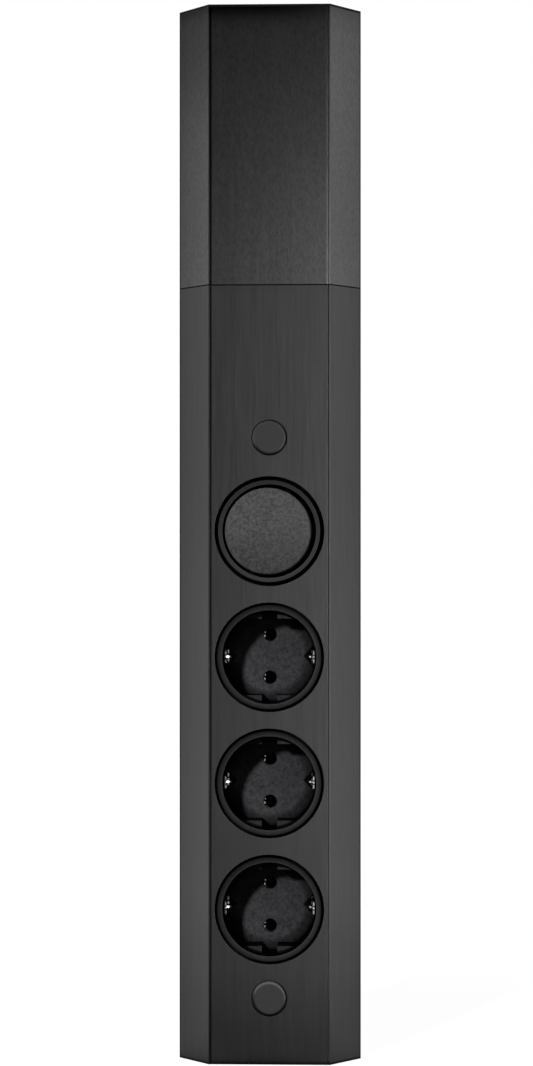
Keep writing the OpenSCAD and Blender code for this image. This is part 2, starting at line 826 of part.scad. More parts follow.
// A busbar along all three sockets, whose front face is at depth_z
module busbar(x, width, depth_z) {
    color(brass_yellow) translate([x - width / 2, y_front - depth_z, bar_low])
        cube([width, bar_t, bar_high - bar_low]);
}

// Switch module

module frame_screw_places() {
    for (turn = [0, 180]) rotate(turn) translate([switch_screw_x, switch_screw_y, 0]) children();
}

module switch_frame() {
    collar_r = collar_d / 2;
    well_r = collar_bore_d / 2;
    rim_r = 0.4;
    color(black_plastic) on_front(switch_z) difference() {
        union() {
            carrier_plate();
            rotate_extrude() polygon(concat(
                [[0, frame_back], [0, collar_proud]],
                [for (i = [0:4]) [collar_r - rim_r + rim_r * sin(i * 22.5),
                    collar_proud - rim_r + rim_r * cos(i * 22.5)]],
                [[collar_r, frame_back]]
            ));
        }
        difference() {
            translate([0, 0, frame_floor]) cylinder(r = well_r, h = 30);
            for (up = [0, 1]) mirror([0, up, 0])
                translate([-3, ear_in, frame_floor - 1])
                    cube([6, ear_out - ear_in, pivot_z - frame_floor + 3]);
        }
        translate([0, ear_out + 1, pivot_z]) rotate([90, 0, 0])
            cylinder(r = pivot_pin_d / 2, h = 2 * ear_out + 2);
        translate([-contact_window / 2, -contact_window / 2, frame_back - 1])
            cube([contact_window, contact_window, frame_floor_t + 2]);
        frame_screw_places() translate([0, 0, frame_back - 1])
            cylinder(r = base_screw_r + pin_clear, h = frame_floor_t + 4);
    }
}

// The rear box of the switch, open towards the frame
module switch_housing() {
    housing_d = frame_back - housing_back;
    color(black_plastic) on_front(switch_z) difference() {
        union() {
            translate([-housing_w / 2, -housing_h / 2, housing_back])
                cube([housing_w, housing_h, housing_d]);
            frame_screw_places() translate([0, 0, frame_back - base_ear_t])
                cylinder(r = base_ear_r, h = base_ear_t);
            frame_screw_places() translate([-base_ear_r, -3.5, frame_back - base_ear_t])
                cube([2 * base_ear_r, 3.5, base_ear_t]);
        }
        translate([-housing_w / 2 + housing_t, -housing_h / 2 + housing_t, bracket_z])
            cube([housing_w - 2 * housing_t, housing_h - 2 * housing_t, housing_d]);
        for (side = [-1, 1])
            translate([side * tab_x - tab_w / 2 - seat_gap, -housing_h / 2 - 1, bracket_z - 0.1])
                cube([tab_w + 2 * seat_gap, housing_t + 2, bracket_t + 2 * seat_gap]);
        frame_screw_places() translate([0, 0, frame_back - base_ear_t - 1])
            cylinder(r = base_screw_r + pin_clear, h = base_ear_t + 2);
    }
}

module switch_screws() {
    color(steel) on_front(switch_z) frame_screw_places() {
        translate([0, 0, frame_back - base_ear_t - screw_head_h])
            cylinder(r = screw_head_r, h = screw_head_h);
        translate([0, 0, frame_back - base_ear_t - 0.5])
            cylinder(r = base_screw_r, h = base_ear_t + 0.5 + frame_floor_t);
    }
}

// Turns children about the rocker's pivot, in the switch's own frame
module turned(angle, depth_z) {
    translate([0, 0, depth_z]) rotate([0, angle, 0]) translate([0, 0, -depth_z]) children();
}

// A moulded disc with a crowned face, a skirt, two pivot lugs and a barrel
module rocker() {
    r = rocker_d / 2;
    rim_r = 0.8;
    ball_r = (r * r + rocker_crown * rocker_crown) / (2 * rocker_crown);
    face_t = 2;
    function crown(x) = rocker_proud + sqrt(ball_r * ball_r - x * x) - ball_r + rocker_crown;
    color(rocker_grey) on_front(switch_z) turned(-rocker_tilt, pivot_z) difference() {
        union() {
            rotate_extrude() polygon(concat(
                [for (i = [0:6]) let (x = (r - rim_r) * i / 6) [x, crown(x)]],
                [for (i = [1:4]) [r - rim_r + rim_r * sin(i * 22.5),
                    crown(r - rim_r) - rim_r + rim_r * cos(i * 22.5)]],
                [
                    [r, rocker_skirt], [r - rocker_wall, rocker_skirt],
                    [r - rocker_wall, rocker_proud - face_t], [0, rocker_proud - face_t]
                ]
            ));
            for (up = [0, 1]) mirror([0, up, 0]) translate([0, lug_in, 0]) {
                translate([-2.6, 0, pivot_z])
                    cube([5.2, lug_out - lug_in, rocker_proud - face_t - pivot_z + 0.5]);
                translate([0, lug_out - lug_in, pivot_z]) rotate([90, 0, 0])
                    cylinder(r = 2.6, h = lug_out - lug_in);
            }
            translate([0, 0, frame_floor + 2])
                cylinder(r = barrel_r, h = rocker_proud - face_t - frame_floor - 1.5);
        }
        translate([0, lug_out + 1, pivot_z]) rotate([90, 0, 0])
            difference() {
                cylinder(r = pivot_pin_d / 2 + pin_clear, h = 2 * lug_out + 2);
                translate([0, 0, lug_out + 1 - lug_in + 0.5])
                    cylinder(r = pivot_pin_d, h = 2 * lug_in - 1);
            }
        translate([0, 0, frame_floor])
            cylinder(r = barrel_bore_r, h = rocker_proud - face_t - frame_floor - 0.6);
    }
}

// Two pins, one in each ear of the frame, on which the rocker turns
module rocker_pins() {
    color(steel) on_front(switch_z) for (up = [0, 1]) mirror([0, up, 0])
        translate([0, ear_out, pivot_z]) rotate([90, 0, 0])
            cylinder(d = pivot_pin_d, h = ear_out - lug_in - 0.1);
}

module rocker_plunger() {
    color(white_plastic) on_front(switch_z) turned(-rocker_tilt, pivot_z) rotate_extrude()
        polygon(concat(
            [[0, plunger_head], [plunger_r, plunger_head], [plunger_r, frame_floor + 1],
             [plunger_tip_r, frame_floor]],
            [for (i = [0:4]) [plunger_tip_r * cos(i * 22.5),
                plunger_tip + plunger_tip_r - plunger_tip_r * sin(i * 22.5)]]
        ));
}

// A compression spring in the rocker's barrel, flat wire turns from a helix
module rocker_spring() {
    turns = 4;
    steps = 8;
    spring_wire = 0.4;
    spring_r = plunger_r - spring_wire / 2 - 0.1;
    low = plunger_head + spring_wire / 2 + 0.05;
    high = rocker_proud - 2 - 0.6 - spring_wire / 2 - 0.05;
    helix = [for (i = [0:turns * steps])
        [spring_r * cos(360 * i / steps), spring_r * sin(360 * i / steps),
         low + (high - low) * i / (turns * steps)]];
    color(steel) on_front(switch_z) turned(-rocker_tilt, pivot_z) swept_tube(helix, spring_wire, 6);
}

// The rocking contact plate, dished so that the plunger's tip sweeps over it
module seesaw_contact() {
    dish = 0.9;
    color(brass_yellow) on_front(switch_z) turned(seesaw_tilt, seesaw_z) {
        bent_strip([
            [-seesaw_w / 2, seesaw_z + dish], [-seesaw_w / 6, seesaw_z], [seesaw_w / 6, seesaw_z],
            [seesaw_w / 2, seesaw_z + dish]
        ], seesaw_t, seesaw_h);
        translate([button_x, 0, seesaw_z - button_low]) cylinder(r = button_r, h = 1.2);
        for (up = [0, 1]) mirror([0, up, 0])
            translate([0, seesaw_h / 2 + 2.2, seesaw_z]) rotate([90, 0, 0])
                cylinder(r = seesaw_pin_r, h = 3.4);
    }
}

// Line terminal: a plate with two ears that carry the seesaw's pivot
module seesaw_bracket() {
    ear_y = seesaw_h / 2 + 0.5;
    ear_t = 1.2;
    color(brass_yellow) on_front(switch_z) difference() {
        union() {
            translate([-tab_x - tab_w / 2, -ear_y - ear_t, bracket_z])
                cube([tab_x + tab_w / 2 + 2, 2 * (ear_y + ear_t), bracket_t]);
            for (up = [0, 1]) mirror([0, up, 0]) translate([-2, ear_y, bracket_z])
                cube([4, ear_t, seesaw_z + 1.8 - bracket_z]);
            translate([-tab_x - tab_w / 2, -housing_h / 2 - tab_len, bracket_z])
                cube([tab_w, housing_h / 2 + tab_len, bracket_t]);
        }
        translate([0, ear_y + ear_t + 1, seesaw_z]) rotate([90, 0, 0])
            cylinder(r = seesaw_pin_r + pin_clear, h = 2 * (ear_y + ear_t + 1));
    }
}

// Switched terminal: a strip with the contact that the seesaw closes on
module fixed_contact() {
    contact_z = bracket_z + bracket_t;
    color(brass_yellow) on_front(switch_z) {
        translate([tab_x - tab_w / 2, -housing_h / 2 - tab_len, bracket_z])
            cube([tab_w, housing_h / 2 + tab_len + 2, bracket_t]);
        translate([button_x, 0, contact_z - 0.1])
            cylinder(r = button_r, h = button_rest - contact_gap - contact_z + 0.1);
    }
}

// Wiring in the foot of the tower

function block_screw_z(part) = plate_t + block_foot + part * block_h;

module terminal_block() {
    color(white_plastic) difference() {
        translate([block_x, block_y, plate_t + block_foot]) cube([block_w, block_l, block_h]);
        for (i = [0:2]) {
            translate([block_mid, block_y + (i + 0.5) * block_pitch, plate_t]) cylinder(
                r = block_hole_r, h = block_h + block_foot + 2);
            for (part = [0.28, 0.72])
                translate([block_x - 1, block_y + (i + 0.5) * block_pitch, block_screw_z(part)])
                    rotate([0, 90, 0]) cylinder(r = screw_head_r + pin_clear, h = 4);
        }
        for (i = [1:2])
            translate([block_x - 1, block_y + i * block_pitch - 0.3, plate_t + block_foot + 2])
                cube([2.5, 0.6, block_h]);
    }
}

module terminal_screws() {
    color(steel) for (i = [0:2]) for (part = [0.28, 0.72])
        translate([block_x + 0.6, block_y + (i + 0.5) * block_pitch, block_screw_z(part)])
            rotate([0, 90, 0]) difference() {
                cylinder(r = screw_head_r, h = 2.4);
                translate([-0.3, -3, -0.1]) cube([0.6, 6, 0.8]);
            }
}

// A rubber ring in the bottom cap, with a lip on the inside
module cable_grommet() {
    hole_r = grommet_r + grommet_wall;
    top = plate_t + 1;
    color(black_plastic) translate([grommet_x, grommet_y, 0]) rotate_extrude() polygon([
        [grommet_r, 0.2], [hole_r - pin_clear, 0.2], [hole_r - pin_clear, top + pin_clear],
        [hole_r + grommet_lip, top + pin_clear], [hole_r + grommet_lip, top + 1.2],
        [grommet_r + 0.6, top + 2.2], [grommet_r, top + 2.2]
    ]);
}

module clamp_screw_holes(r) {
    for (side = [-1, 1])
        translate([grommet_x + side * clamp_x, grommet_y - 8, clamp_z + clamp_h / 2])
            rotate([-90, 0, 0]) cylinder(r = r, h = 11);
}

// The bar that clamps the cable to the cap's two posts, with a rounded throat
module cord_clamp() {
    y_bar = grommet_y - clamp_split - clamp_t;
    color(black_plastic) difference() {
        translate([grommet_x - clamp_x - clamp_end, y_bar, clamp_z])
            cube([2 * (clamp_x + clamp_end), clamp_t, clamp_h]);
        translate([grommet_x, grommet_y, clamp_z - 1]) cylinder(r = grommet_r, h = clamp_h + 2);
        clamp_screw_holes(clamp_screw_r + 0.2);
    }
}

module cord_clamp_screws() {
    y_bar = grommet_y - clamp_split - clamp_t;
    color(steel) for (side = [-1, 1])
        translate([grommet_x + side * clamp_x, y_bar, clamp_z + clamp_h / 2]) rotate([-90, 0, 0]) {
            translate([0, 0, -screw_head_h]) cylinder(r = screw_head_r, h = screw_head_h);
            translate([0, 0, -0.2]) cylinder(r = clamp_screw_r, h = clamp_t + 3.2);
        }
}

// The outlets of the block, the ends of the bars and the tabs of the switch
function block_port(i) = [block_mid, block_y + (i + 0.5) * block_pitch, block_top - wire_in];
bar_end_z = bar_low + 1.6;
wire_end_gap = 0.2;
bar_front_y = y_front - bar_back - bar_t;
earth_back_y = y_front - cup_back + clip_t + bar_t;
tab_z = switch_z - housing_h / 2 - tab_len;
tab_front_y = y_front - bracket_z - bracket_t;

module wire(points, shade) {
    color(shade) swept_tube(route(points, 4), wire_d, 8);
}

module live_feed_wire() {
    start = block_port(0);
    end = [-tab_x, tab_front_y + bracket_t / 2, tab_z - wire_end_gap];
    wire([
        start, start + [0, 0, wire_in + 0.4], start + [0, 0, 6.5],
        [duct_x - 0.7, duct_y - 1.5, block_top + 19.5],
        [duct_x, duct_y, socket_z[0] - 7.5], [duct_x, duct_y, socket_z[1] - 2.5],
        [duct_x, duct_y, socket_z[2] - 2.5], [duct_x - 1.2, duct_y + 1.5, tab_z - 19.5],
        [tab_x + 7.6, tab_front_y - 1.8, tab_z - 11.5], [5.4 - tab_x, tab_front_y - 1.8, tab_z - 10],
        end - [0, 0, 3.5], end - [0, 0, 1.8], end
    ], brown);
}

module switched_live_wire() {
    start = [tab_x, tab_front_y + bracket_t / 2, tab_z - wire_end_gap];
    end = [-bar_x, bar_front_y + bar_t / 2, bar_high + wire_end_gap];
    wire([
        start, start - [0, 0, 1.8], start - [0, 0, 3.5], (start + end) / 2,
        end + [0, 0, 3.5], end + [0, 0, 1.8], end
    ], brown);
}

module neutral_wire() {
    start = block_port(1);
    end = [bar_x, bar_front_y + bar_t / 2, bar_low - wire_end_gap];
    wire([
        start, start + [0, 0, wire_in + 0.4], start + [0, 0, 6], (start + end) / 2 + [-1.5, 1.5, 0],
        end - [0, 0, 3.5], end - [0, 0, 1.8], end
    ], blue);
}

module earth_wire() {
    start = block_port(2);
    end = [earth_bar_x, earth_back_y - bar_t / 2, bar_low - wire_end_gap];
    wire([
        start, start + [0, 0, wire_in + 0.4], start + [0, 0, 6], (start + end) / 2 + [3, 0, 2],
        end - [0, 0, 3.5], end - [0, 0, 1.8], end
    ], green);
}

module earth_bond_wire() {
    start = [earth_bar_x - 0.5, earth_back_y + wire_d / 2 + 0.05, bar_end_z];
    end = [5.6, y_rail - lug_t - wire_d / 2 - 0.05, stud_z + 1];
    wire([start, start + [-1, 1.2, -1.5], (start + end) / 2 + [2, 0, -4], end + [2.5, -0.2, 0.5], end], green);
}

module earth_lug() {
    color(steel) difference() {
        translate([0, y_rail - lug_t, stud_z]) rotate([-90, 0, 0]) cylinder(r = lug_ring_r, h = lug_t);
        translate([0, y_rail - lug_t - 1, stud_z]) rotate([-90, 0, 0])
            cylinder(r = stud_r + pin_clear, h = lug_t + 2);
    }
}

module earth_nut() {
    color(steel) translate([0, y_rail - lug_t - nut_t, stud_z]) rotate([-90, 0, 0]) difference() {
        cylinder(d = nut_af / cos(30), h = nut_t, $fn = 6);
        translate([0, 0, -1]) cylinder(r = stud_r + pin_clear, h = nut_t + 2);
    }
}

lower_cover();
upper_cover();
edge_seals(plate_t, lower_h + joint_gap);  // lower_edge_seals
edge_seals(z_upper, upper_h);  // upper_edge_seals
rear_rail();
bottom_cap();
bottom_cap_screws();
top_cap();
top_cap_screws();
lower_guide_carrier();
upper_guide_carrier();
screw_cap(lower_fixing_z);  // lower_screw_cap
screw_cap(upper_fixing_z);  // upper_screw_cap
socket_insert(socket_z[2]);  // upper_socket_insert
socket_insert(socket_z[1]);  // middle_socket_insert
socket_insert(socket_z[0]);  // lower_socket_insert
socket_base(socket_z[2]);  // upper_socket_base
socket_base(socket_z[1]);  // middle_socket_base
socket_base(socket_z[0]);  // lower_socket_base
earth_clip(socket_z[2]);  // upper_earth_clip
earth_clip(socket_z[1]);  // middle_earth_clip
earth_clip(socket_z[0]);  // lower_earth_clip
pin_sleeve(socket_z[2], 1);  // upper_live_contact
pin_sleeve(socket_z[1], 1);  // middle_live_contact
pin_sleeve(socket_z[0], 1);  // lower_live_contact
pin_sleeve(socket_z[2], -1);  // upper_neutral_contact
pin_sleeve(socket_z[1], -1);  // middle_neutral_contact
pin_sleeve(socket_z[0], -1);  // lower_neutral_contact
socket_base_screws();
busbar(-bar_x, bar_w, bar_back + bar_t);  // live_busbar
busbar(bar_x, bar_w, bar_back + bar_t);  // neutral_busbar
busbar(earth_bar_x, earth_bar_w, cup_back - clip_t);  // earth_busbar
switch_frame();
switch_housing();
switch_screws();
rocker();
rocker_pins();
rocker_plunger();
rocker_spring();
seesaw_contact();
seesaw_bracket();
fixed_contact();
terminal_block();
terminal_screws();
cable_grommet();
cord_clamp();
cord_clamp_screws();
live_feed_wire();
switched_live_wire();
neutral_wire();
earth_wire();
earth_bond_wire();
earth_lug();
earth_nut();
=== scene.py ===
import json
import math

import bmesh
import bpy
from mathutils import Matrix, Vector


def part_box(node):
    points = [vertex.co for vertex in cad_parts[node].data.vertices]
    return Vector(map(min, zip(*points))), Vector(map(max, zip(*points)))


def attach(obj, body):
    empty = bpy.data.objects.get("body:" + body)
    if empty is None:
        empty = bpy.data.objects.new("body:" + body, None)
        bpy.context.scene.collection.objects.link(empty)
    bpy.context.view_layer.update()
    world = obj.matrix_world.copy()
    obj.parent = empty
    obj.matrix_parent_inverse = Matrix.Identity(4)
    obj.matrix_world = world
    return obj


# Lengths are in metres in the CAD's frame: +Z is up and the tower's front faces -Y.

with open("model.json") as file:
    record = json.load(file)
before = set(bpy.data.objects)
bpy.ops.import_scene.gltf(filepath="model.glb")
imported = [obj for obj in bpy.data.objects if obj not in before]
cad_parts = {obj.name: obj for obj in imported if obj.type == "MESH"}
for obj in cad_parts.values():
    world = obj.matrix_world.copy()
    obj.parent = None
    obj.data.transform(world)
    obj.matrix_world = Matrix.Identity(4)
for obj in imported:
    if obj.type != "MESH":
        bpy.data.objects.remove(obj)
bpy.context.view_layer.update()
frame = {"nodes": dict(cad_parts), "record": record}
slot_of = {part["node"]: part["material_slot"] for part in frame["record"]["subparts"]}

lower_low, lower_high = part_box("lower_cover")
upper_low, upper_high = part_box("upper_cover")
lip_height = 0.0005
front_y = lower_low[1] + lip_height


# Materials

noise_span = (0.3, 0.7)     # where most values of one noise lie
blend_span = (0.36, 0.64)   # where most values of several noises together lie
soft_edge = 0.0002          # the radius that rounds off most edges
nickel = (0.66, 0.64, 0.6)
blue_black = (1, 0.985, 1.06)
white = (1, 1, 1, 1)


class Tree:
    """Builds the nodes of a material or world; a value may be a number, a colour or an output."""

    def __init__(self, owner):
        owner.use_nodes = True
        self.owner = owner
        self.tree = owner.node_tree
        self.tree.nodes.clear()

    def add(self, kind, output=0, settings=None, **inputs):
        """Adds a node. Its inputs go by name, with _ for a space, or by number, as _0."""
        node = self.tree.nodes.new("ShaderNode" + kind)
        for key, value in (settings or {}).items():
            setattr(node, key, value)
        for key, value in inputs.items():
            socket = node.inputs[int(key[1:])] if key[0] == "_" else node.inputs[key.replace("_", " ")]
            if isinstance(value, bpy.types.NodeSocket):
                self.tree.links.new(value, socket)
            else:
                socket.default_value = value
        return node.outputs[output]

    def finish(self, shader, output="OutputMaterial"):
        out = self.tree.nodes.new("ShaderNode" + output)
        self.tree.links.new(shader, out.inputs["Surface"])
        return self.owner

    def calc(self, operation, a, b=0.0):
        return self.add("Math", settings={"operation": operation}, _0=a, _1=b)

    def times(self, a, b):
        return self.calc("MULTIPLY", a, b)

    def plus(self, a, b):
        return self.calc("ADD", a, b)

    def blend(self, *shares):
        """The sum of values that each have a weight."""
        parts = [self.times(value, weight) for value, weight in shares]
        total = parts[0]
        for part in parts[1:]:
            total = self.plus(total, part)
        return total

    def vector(self, operation, output=0, **inputs):
        return self.add("VectorMath", output, {"operation": operation}, **inputs)

    def scaled(self, colour, factor):
        return self.vector("SCALE", _0=colour, Scale=factor)

    def length(self, vector):
        return self.vector("LENGTH", "Value", _0=vector)

    def place(self):
        """The point's own place. It stays with its piece when a joint moves."""
        return self.add("TexCoord", "Object")

    def axis(self, name, vector=None):
        """One axis of a vector, or of the point's place."""
        return self.add("SeparateXYZ", name, Vector=self.place() if vector is None else vector)

    def offset(self, node):
        """Where a point lies in the front view, from the middle of a node's box."""
        low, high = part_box(node)
        middle = ((low[0] + high[0]) / 2, 0, (low[2] + high[2]) / 2)
        spot = self.vector("SUBTRACT", _0=self.place(), _1=middle)
        return self.vector("MULTIPLY", _0=spot, _1=(1, 0, 1))

    def behind(self, y, width):
        """0 in front of the plane y and 1 behind it, with a soft step of this width."""
        return self.remap(self.axis("Y"), 0, 1, (y, y + width))

    def facing(self):
        """1 on a surface that faces straight to the front or the back, 0 on one that faces aside."""
        return self.calc("ABSOLUTE", self.axis("Y", self.add("NewGeometry", "Normal")))

    def stretched(self, scale):
        """The point's place times a scale, which is one number or one for each axis."""
        per_axis = scale if isinstance(scale, tuple) else (scale,) * 3
        return self.add("Mapping", Vector=self.place(), Scale=per_axis)

    def noise(self, scale, detail, roughness=0.5):
        """Noise with about this many features in a metre, in all or along each axis."""
        return self.add("TexNoise", "Fac", Vector=self.stretched(scale), Scale=1.0, Detail=detail,
                        Roughness=roughness)

    def remap(self, value, low, high, span=noise_span):
        """Goes from low to high while the value goes through the span, and stays there beyond it."""
        return self.add("MapRange", Value=value, From_Min=span[0], From_Max=span[1], To_Min=low, To_Max=high)

    def curve(self, value, points):
        """Goes straight from point to point; each is a value and the level that belongs to it."""
        low, high = points[0][0], points[-1][0]
        ramp = self.add("ValToRGB", "Color", Fac=self.remap(value, 0, 1, (low, high))).node
        stops = ramp.color_ramp.elements
        while len(stops) < len(points):
            stops.new(0.5)
        for stop, (place, level) in zip(stops, points):
            stop.position = (place - low) / (high - low)
            stop.color = (level, level, level, 1)
        return ramp.outputs["Color"]

    def mix(self, factor, a, b):
        return self.add("Mix", settings={"data_type": "FLOAT"}, _0=factor, _2=a, _3=b)

    def tint(self, factor, first, second):
        """Goes from the first colour to the second; the first may be an output."""
        start = first if isinstance(first, bpy.types.NodeSocket) else (*first, 1)
        return self.add("Mix", 2, {"data_type": "RGBA"}, _0=factor, _6=start, _7=(*second, 1))

    def rounded(self, radius):
        return self.add("Bevel", settings={"samples": 4}, Radius=radius)

    def bump(self, height, depth, normal=None, strength=0.5):
        """Gives a normal a relief of this depth; without one it starts from the mesh's own."""
        base = {} if normal is None else {"Normal": normal}
        return self.add("Bump", Strength=strength, Distance=depth, Height=height, **base)

    def shaped(self, height, normal):
        """Bends a normal as if the surface had this height in metres."""
        return self.bump(height, 1.0, normal, strength=1.0)

    def surface(self, colour, rough, normal, **more):
        return self.add("BsdfPrincipled", Base_Color=colour, Roughness=rough, Normal=normal, **more)


def new_tree(name):
    return Tree(bpy.data.materials.new(name))


def grey(level, warm=0.0):
    return (level * (1 + warm), level, level * (1 - warm))


def brushed_cover(name, level, contrast, grainy, metallic, end_shade, across, painted_light_by_height):
    """Black anodised aluminium brushed along the tower; painted light and shade, darker at its sawn end."""
    t = new_tree(name)
    broad = t.noise((120, 120, 4), detail=2)
    hair = t.noise((1300, 1300, 34), detail=3, roughness=0.6)
    fine_hair = t.noise((3200, 3200, 70), detail=2, roughness=0.6)
    lines = t.blend((hair, 0.5), (fine_hair, 0.5))
    streaks = t.blend((lines, 0.85), (broad, 0.15))
    if grainy:
        grain = t.noise((1300, 1300, 560), detail=2, roughness=0.6)
        streaks = t.blend((streaks, 0.4), (grain, 0.6))
    colour = t.tint(t.remap(streaks, 0, 1, blend_span), grey(level * (1 - contrast)),
                    grey(level * (1 + contrast)))

    side = t.axis("X")
    height = t.axis("Z")
    # Painted light and shade: levels across the front and by the height above the foot
    colour = t.scaled(colour, t.times(t.curve(side, across), t.curve(height, painted_light_by_height)))
    # The painted shade at the sawn end is weaker to the right, and on the facets
    weaker = t.remap(side, 0, 0.4, (0.004, 0.024))
    shade = t.mix(weaker, t.curve(height, end_shade), 1.0)
    on_front = t.remap(t.facing(), 0, 1, (0.75, 0.95))
    colour = t.scaled(colour, t.mix(on_front, t.calc("POWER", shade, 0.35), shade))

    normal = t.bump(lines, 0.000008, t.rounded(soft_edge))
    tangent = t.add("Tangent", settings={"direction_type": "RADIAL", "axis": "Z"})
    return t.finish(t.surface(colour, t.remap(lines, 0.3, 0.38), normal, Metallic=metallic,
                              Specular_IOR_Level=0.15, Anisotropic=0.6, Tangent=tangent))


def moulding(name, level, rough, fineness, depth, spec=0.3, warm=0.0, spread=0.12):
    """Moulded plastic or rubber; its surface texture has this fineness and depth."""
    t = new_tree(name)
    fine = t.noise(fineness, detail=3, roughness=0.6)
    broad = t.noise(90, detail=2)
    cloud = t.remap(t.blend((fine, 0.6), (broad, 0.4)), 0, 1, blend_span)
    colour = t.tint(cloud, grey(level * (1 - spread), warm), grey(level * (1 + spread), warm))
    normal = t.bump(fine, depth, t.rounded(soft_edge))
    return t.finish(t.surface(colour, t.remap(broad, rough - 0.04, rough + 0.05), normal,
                              Specular_IOR_Level=spec))


def push_cap(name, node, level, rim_light):
    """Black moulded cap; its rounded rim is painted lit towards the top and shaded towards the foot."""
    t = new_tree(name)
    light_from = (0.26, 0, 0.97)   # a little to the right of straight up
    rim_start = 0.0064
    rim_curve = 330
    grain = t.noise(1100, detail=3, roughness=0.6)
    colour = t.tint(t.remap(grain, 0, 1), grey(level * 0.91), grey(level * 1.09))

    spot = t.offset(node)
    away = t.length(spot)
    way = t.vector("NORMALIZE", _0=spot)
    upwards = t.vector("DOT_PRODUCT", "Value", _0=way, _1=light_from)
    # Painted highlight and shade on the rim, by its direction from the middle
    on_rim = t.remap(away, 0, 1, (rim_start - 0.0003, rim_start + 0.0004))
    colour = t.scaled(colour, t.mix(on_rim, 1.0, t.curve(upwards, rim_light)))

    past = t.calc("MAXIMUM", t.calc("SUBTRACT", away, rim_start))
    rim = t.times(t.calc("POWER", past, 2.0), -rim_curve)
    normal = t.bump(grain, 0.00002, t.shaped(rim, t.rounded(soft_edge)))
    return t.finish(t.surface(colour, t.remap(grain, 0.38, 0.46), normal, Specular_IOR_Level=0.12))


def metal(name, colour, rough, fineness, edge=0.0001):
    """Bare metal with fine streaks or, if its fineness is one number, a fine grain."""
    t = new_tree(name)
    lines = t.noise(fineness, detail=3, roughness=0.6)
    patch = t.noise(60, detail=2)
    tint = t.tint(t.remap(lines, 0, 1), [part * 0.88 for part in colour], colour)
    wear = t.blend((lines, 0.5), (patch, 0.5))
    normal = t.bump(lines, 0.00001, t.rounded(edge))
    return t.finish(t.surface(tint, t.remap(wear, rough - 0.06, rough + 0.08), normal, Metallic=1.0))


def earth_clip(name, node):
    """Bright nickel painted dark in bands beside the nose and at the arm's edges, as painted shade."""
    t = new_tree(name)
    # Painted shade, up or down from the clip's middle: the bright nose, a dark band, the arm and its dark
    # edge
    painted_dark_bands = [(0.0003, 1.0), (0.0005, 0.02), (0.0009, 0.02), (0.0011, 0.7), (0.0023, 0.7), (0.0027, 0.05)]
    lines = t.noise((500, 500, 1500), detail=3, roughness=0.6)
    from_middle = t.calc("ABSOLUTE", t.axis("Z", t.offset(node)))
    shine = t.tint(t.remap(lines, 0, 1), (0.58, 0.56, 0.53), nickel)
    colour = t.scaled(shine, t.curve(from_middle, painted_dark_bands))
    normal = t.bump(lines, 0.00001, t.rounded(soft_edge))
    return t.finish(t.surface(colour, t.remap(lines, 0.08, 0.18), normal, Metallic=1.0))


def rocker_face(name):
    """Dark grey moulding, fine sandy texture, slightly domed face; painted shade towards its foot."""
    t = new_tree(name)
    dome_curve = 3.6
    sand = t.noise(1900, detail=3, roughness=0.7)
    speck = t.noise(820, detail=2, roughness=0.6)
    cloud = t.noise(130, detail=3, roughness=0.6)
    mottle = t.remap(t.blend((sand, 0.25), (speck, 0.6), (cloud, 0.15)), 0, 1, (0.4, 0.6))
    spot = t.offset("rocker")
    # Painted shade: the face darker towards its foot and a little lighter at its top
    shade = t.remap(t.axis("Z", spot), 0.66, 1.04, (-0.018, 0.004))
    colour = t.scaled(t.tint(mottle, grey(0.047), grey(0.092)), shade)
    dome = t.times(t.calc("POWER", t.length(spot), 2.0), -dome_curve)
    normal = t.bump(sand, 0.00012, t.shaped(dome, t.rounded(2 * soft_edge)), strength=0.7)
    return t.finish(t.surface(colour, t.remap(speck, 0.48, 0.6), normal, Specular_IOR_Level=0.1))


def switch_moulding(name):
    """Satin dark grey collar with painted light and shade; matt black painted shade behind the cover's
    front.
    """
    t = new_tree(name)
    fine = t.noise(1500, detail=3, roughness=0.6)
    grain = t.remap(fine, 0, 1)
    # Painted light and shade: the collar lighter towards the foot and darker towards the top
    shade = t.remap(t.axis("Z", t.offset("rocker")), 1.24, 0.7, (-0.02, 0.02))
    colour = t.scaled(t.tint(grain, grey(0.027), grey(0.035)), shade)
    normal = t.bump(fine, 0.00002, t.rounded(soft_edge))
    collar = t.surface(colour, t.remap(fine, 0.36, 0.44), normal, Specular_IOR_Level=0.08)
    # Painted shade: what lies behind the cover's front is near black
    deep_shade = t.add("BsdfDiffuse", Color=t.tint(grain, grey(0.0012), grey(0.002)))
    return t.finish(t.add("MixShader", _0=t.behind(front_y, 0.0004), _1=collar, _2=deep_shade))


